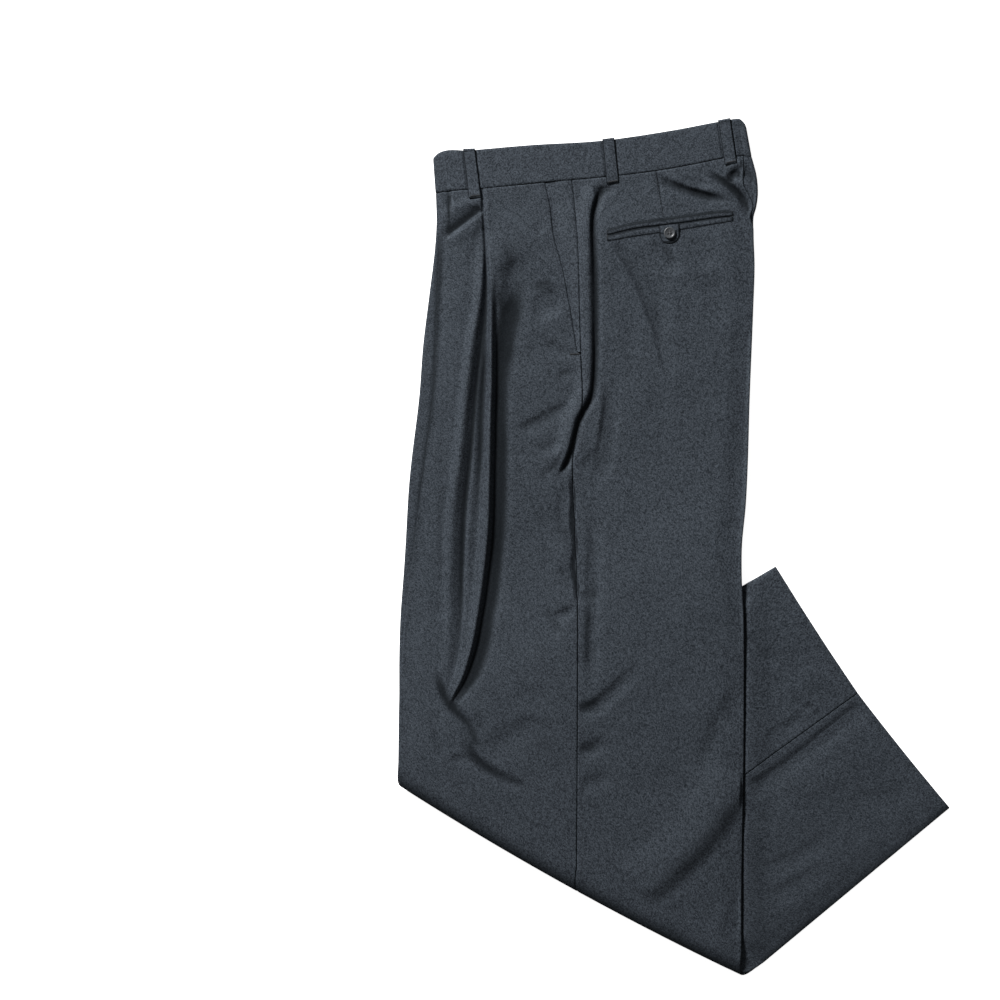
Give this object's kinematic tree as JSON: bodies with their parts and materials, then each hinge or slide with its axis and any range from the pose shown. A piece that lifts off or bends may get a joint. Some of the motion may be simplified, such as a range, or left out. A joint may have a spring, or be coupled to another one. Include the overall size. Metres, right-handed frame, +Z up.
{
  "type": "pleated dress trousers, folded flat",
  "caption": "Pleated dress trousers folded on their creases and laid flat, legs turned under at the knee about a slanted fold.",
  "frame": {"origin": "middle of the garment's outline, on the surface that it lies on", "axes": "+Y towards the waist, +X towards the seat and the hem, +Z up, away from the surface"},
  "size_m": [0.5742, 0.8894, 0.0163],
  "materials": {
    "wool": "fine melange worsted wool, matt with a slight sheen",
    "horn": "dark grey, satin gloss"
  },
  "bodies": {
    "root": {"left_front": "wool", "left_back": "wool", "right_front": "wool", "right_back": "wool", "inner_layers": "wool", "waistband_left": "wool", "waistband_right": "wool", "pocket_facing": "wool", "welt_upper": "wool", "welt_lower": "wool", "pocket_tab": "wool", "pocket_button": "horn", "belt_loop_front": "wool", "belt_loop_side": "wool", "belt_loop_back": "wool"}
  },
  "joints": []
}
